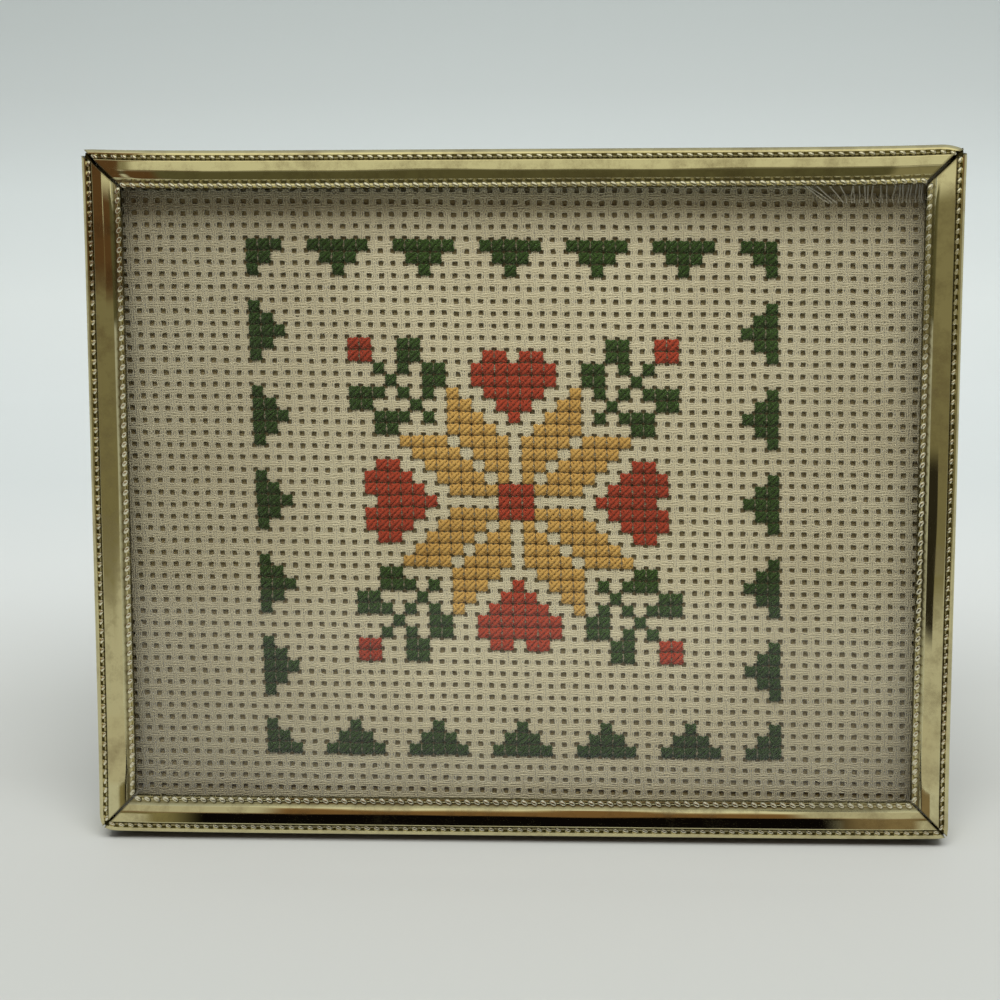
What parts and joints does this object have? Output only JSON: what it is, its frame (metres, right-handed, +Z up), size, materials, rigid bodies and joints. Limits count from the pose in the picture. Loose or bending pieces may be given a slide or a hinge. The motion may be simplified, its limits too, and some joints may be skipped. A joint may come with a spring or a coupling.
{
  "type": "framed cross stitch sampler",
  "caption": "Small cross stitch sampler on evenweave cloth behind glass, in a beaded brass desk frame that leans back on a strut.",
  "frame": {"origin": "middle of the ground under the bounding box, on the surface the frame stands on", "axes": "+Z up, +X along the frame's width to the viewer's right, the sampler faces -Y and its top leans towards +Y"},
  "size_m": [0.129, 0.0476, 0.1021],
  "materials": {
    "rail_brass": "polished, lacquered, a little tarnished",
    "glass": "clear, flat",
    "cloth": "ecru cotton evenweave with stranded cotton stitches",
    "board": "fibreboard covered in matt olive brown paper",
    "hinge_metal": "brass-plated, satin"
  },
  "bodies": {
    "root": {"rail_top": "rail_brass", "rail_bottom": "rail_brass", "rail_left": "rail_brass", "rail_right": "rail_brass", "glass": "glass", "cloth": "cloth", "back_board": "board", "strut_leg": "board", "strut_hinge": "hinge_metal"}
  },
  "joints": []
}
